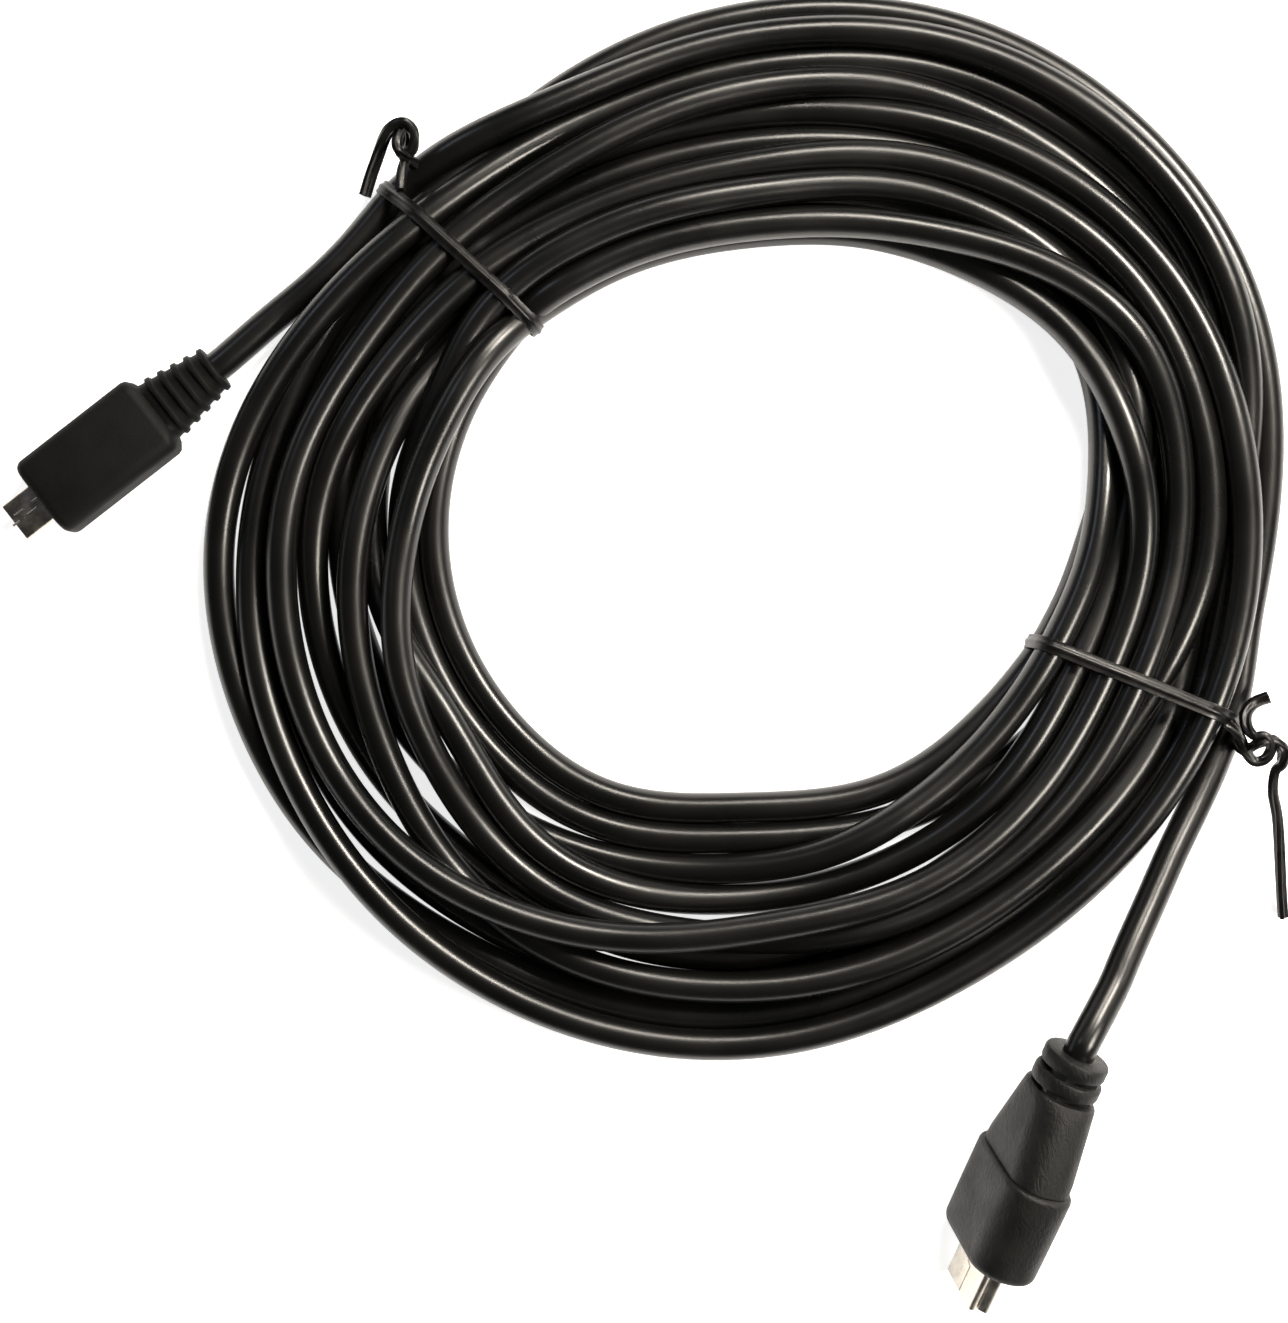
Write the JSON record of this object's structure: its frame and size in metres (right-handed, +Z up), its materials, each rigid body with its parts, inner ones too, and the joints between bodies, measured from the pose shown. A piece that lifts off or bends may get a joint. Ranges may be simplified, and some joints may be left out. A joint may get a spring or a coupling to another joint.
{
  "type": "usb cable",
  "caption": "Long round black data cable coiled flat and held by ribbon twist ties, with a small flat plug at one end and a wider keyed plug at the other.",
  "frame": {"origin": "middle of the whole cable's footprint, on the level surface that the coil lies on", "axes": "+Z up out of that surface; +Y away from the viewer who has the small plug on the left and the wide plug at the lower right; +X to that viewer's right"},
  "size_m": [0.208, 0.2092, 0.0229],
  "materials": {
    "cable_jacket": "satin black PVC",
    "moulded_plug_body": "fine-textured matte black PVC",
    "plug_shell": "bright nickel plate, slightly warm",
    "contact_carrier": "black moulded thermoplastic",
    "tie_ribbon": "smooth black vinyl over a thin steel wire"
  },
  "bodies": {
    "root": {"coil": "cable_jacket", "lead_to_micro_plug": "cable_jacket", "lead_to_mini_plug": "cable_jacket", "micro_overmould": "moulded_plug_body", "micro_shell": "plug_shell", "micro_insert": "contact_carrier", "mini_overmould": "moulded_plug_body", "mini_shell": "plug_shell", "mini_insert": "contact_carrier", "left_twist_tie": "tie_ribbon", "right_twist_tie": "tie_ribbon"}
  },
  "joints": []
}
